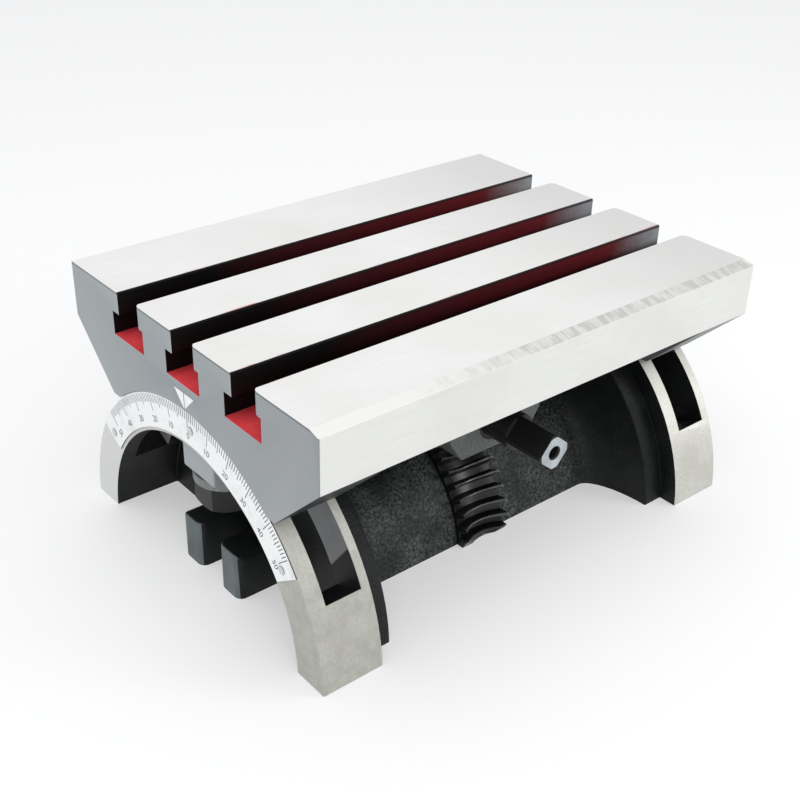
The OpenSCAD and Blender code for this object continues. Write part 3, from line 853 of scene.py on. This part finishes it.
def make_drive():
    refined("worm_shaft", "drive_shaft", [BLACK_STEEL, BARE_END], shaft_face,
            0.35 * MM)
    refined("worm", "worm_thread", [WORM_STEEL], width=0.1 * MM, segments=1)
    refined("worm_pin", "worm_cross_pin", [BRIGHT_STEEL], width=0.3 * MM)
    for end in ("front", "rear"):
        refined(f"{end}_bearing_bracket", f"{end}_bracket", [ROUGH_IRON],
                width=1.0 * MM)
        refined(f"{end}_bracket_screws", f"{end}_socket_screws", [BLACK_STEEL],
                width=0.3 * MM)
        refined(f"{end}_bush", f"{end}_bronze_bush", [BRONZE], width=0.25 * MM)
        refined(f"{end}_thrust_washer", f"{end}_washer", [BRIGHT_STEEL],
                width=0.15 * MM)


# ------------------------------------------------------------------ clamps

def add_thread(bm, core, crest, pitch, low, high, place, around=28):
    """A closed screw thread along +Z from low to high, standing at place.

    It is a helical grid. Each turn has four rows, at the foot and the crest of both flanks,
    and all rows run out at the core past its ends.
    """
    radii = (core, crest, crest, core)
    rises = (0.0, 0.3, 0.5, 0.8)  # height of each row, as a share of the pitch
    rows = len(radii)
    turns = int((high - low) / pitch) + 2
    columns = []
    for column in range(around):
        share = column / around
        angle = math.tau * column / around
        spin = Vector((math.cos(angle), math.sin(angle), 0))
        verts = []
        for row in range(rows * turns):
            height = low + pitch * (row // rows + rises[row % rows] + share - 1)
            radius = radii[row % rows] if low < height < high else core
            lift = Vector((0, 0, min(max(height, low), high)))
            verts.append(bm.verts.new(place + spin * radius + lift))
        columns.append(verts)
    for column in range(around):
        here, there = columns[column], columns[(column + 1) % around]
        skip = rows if column == around - 1 else 0  # the last column meets the next turn
        for row in range(rows * turns - 1 - skip):
            bm.faces.new((here[row], there[row + skip], there[row + skip + 1], here[row + 1]))
    bmesh.ops.remove_doubles(bm, verts=bm.verts, dist=FINE_WELD)
    bmesh.ops.dissolve_degenerate(bm, edges=bm.edges, dist=FINE_WELD)
    bmesh.ops.holes_fill(bm, edges=bm.edges, sides=0)
    bmesh.ops.recalc_face_normals(bm, faces=bm.faces)


def make_clamps():
    for end in ("dial_end", "plain_end"):
        refined(f"{end}_clamp_shoe", f"{end}_shoe", [END_PAINT], width=1.2 * MM)
        refined(f"{end}_clamp_washer", f"{end}_clamp_ring", [CLAMP_STEEL],
                width=0.5 * MM)
        refined(f"{end}_clamp_nut", f"{end}_nut", [BLACK_STEEL],
                width=0.3 * MM)
        node = f"{end}_clamp_stud"
        low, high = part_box(node)
        radius = (high.x - low.x) / 2
        thread = bmesh.new()
        add_thread(thread, radius - STUD_DEPTH, radius - STUD_PLAY, STUD_PITCH, low.z, high.z,
                   Vector(((low.x + high.x) / 2, (low.y + high.y) / 2, 0)))
        new_piece(f"{end}_stud", thread, [CLAMP_STEEL], body_of_node[node],
                  [node])


# ------------------------------------------------------------------ studio

def make_camera():
    """A camera where the photograph's stood."""
    azimuth, elevation, roll = (math.radians(angle) for angle in (-40.4, 30.22, 1.6))
    place = (-0.41461, -0.47513, 0.42886)
    back = Vector((math.sin(azimuth) * math.cos(elevation),
                   -math.cos(azimuth) * math.cos(elevation), math.sin(elevation)))
    right = Vector((math.cos(azimuth), math.sin(azimuth), 0))
    up = back.cross(right)
    side = right * math.cos(roll) + up * math.sin(roll)
    top = up * math.cos(roll) - right * math.sin(roll)
    data = bpy.data.cameras.new("camera")
    data.lens = 55.42
    data.sensor_width = 36
    data.clip_start = 0.01
    data.clip_end = 50
    camera = bpy.data.objects.new("camera", data)
    turn = Matrix((side, top, back)).transposed().to_4x4()
    camera.matrix_world = Matrix.Translation(place) @ turn
    bpy.context.scene.collection.objects.link(camera)
    bpy.context.scene.camera = camera


def add_softbox(name, place, aim, size, power):
    """A rectangular lamp at place that shines towards aim."""
    data = bpy.data.lights.new(name, "AREA")
    data.shape = "RECTANGLE"
    data.size, data.size_y = size
    data.energy = power
    lamp = bpy.data.objects.new(name, data)
    lamp.location = place
    lamp.rotation_mode = "QUATERNION"
    lamp.rotation_quaternion = (Vector(aim) - Vector(place)).to_track_quat("-Z", "Y")
    bpy.context.scene.collection.objects.link(lamp)


def make_floor():
    """A wide sheet of pale paper just under the base."""
    disc = bmesh.new()
    bmesh.ops.create_circle(disc, cap_ends=True, segments=96, radius=6)
    mesh = bpy.data.meshes.new("floor")
    disc.to_mesh(mesh)
    disc.free()
    paper = Looks("floor_paper", srgb(194, 194, 194), 0.9, specular=0.0)
    paper.shader.inputs["Emission Color"].default_value = (1, 1, 1, 1)
    paper.shader.inputs["Emission Strength"].default_value = 0.4
    mesh.materials.append(paper.material)
    ground = bpy.data.objects.new("floor", mesh)
    ground.location.z = base_low.z - 0.05 * MM
    bpy.context.scene.collection.objects.link(ground)


def make_studio():
    make_floor()
    world = bpy.data.worlds.new("studio")
    world.use_nodes = True
    background = world.node_tree.nodes["Background"]
    background.inputs["Color"].default_value = (0.97, 0.98, 1, 1)
    background.inputs["Strength"].default_value = 0.84
    bpy.context.scene.world = world
    bpy.context.scene.view_settings.view_transform = "Standard"
    aim = (0, 0, 0.08)
    add_softbox("overhead", (-0.2, -0.1, 1.3), aim, size=(1.2, 1.2), power=4.6)
    add_softbox("front_left", (-0.9, -1.1, 0.9), aim, size=(0.8, 0.8), power=3.6)
    add_softbox("front_right", (0.9, -1.0, 0.6), aim, size=(0.5, 0.9), power=4.4)


make_camera()
make_studio()
make_table()
make_base()
make_scale()
make_drive()
make_clamps()
